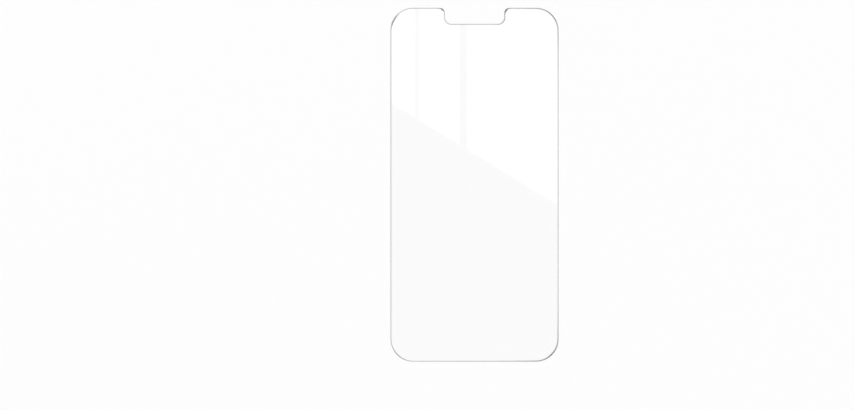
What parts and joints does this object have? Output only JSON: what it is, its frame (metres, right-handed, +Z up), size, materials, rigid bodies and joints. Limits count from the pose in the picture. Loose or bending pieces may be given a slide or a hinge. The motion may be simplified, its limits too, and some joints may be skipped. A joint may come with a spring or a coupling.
{
  "type": "phone screen protector",
  "caption": "Flat clear glass sheet with rounded corners, a notch in its top edge and a ground, rounded rim, laid over a phone's display to guard it.",
  "frame": {"origin": "middle of the adhesive face, which the sheet lies on", "axes": "+X across the sheet, +Y along it to the notched end, +Z up out of the touch face"},
  "size_m": [0.067, 0.141, 0.0003],
  "materials": {
    "clear_glass": "clear, faces polished, rim finely ground"
  },
  "bodies": {
    "root": {"protector_glass": "clear_glass"}
  },
  "joints": []
}
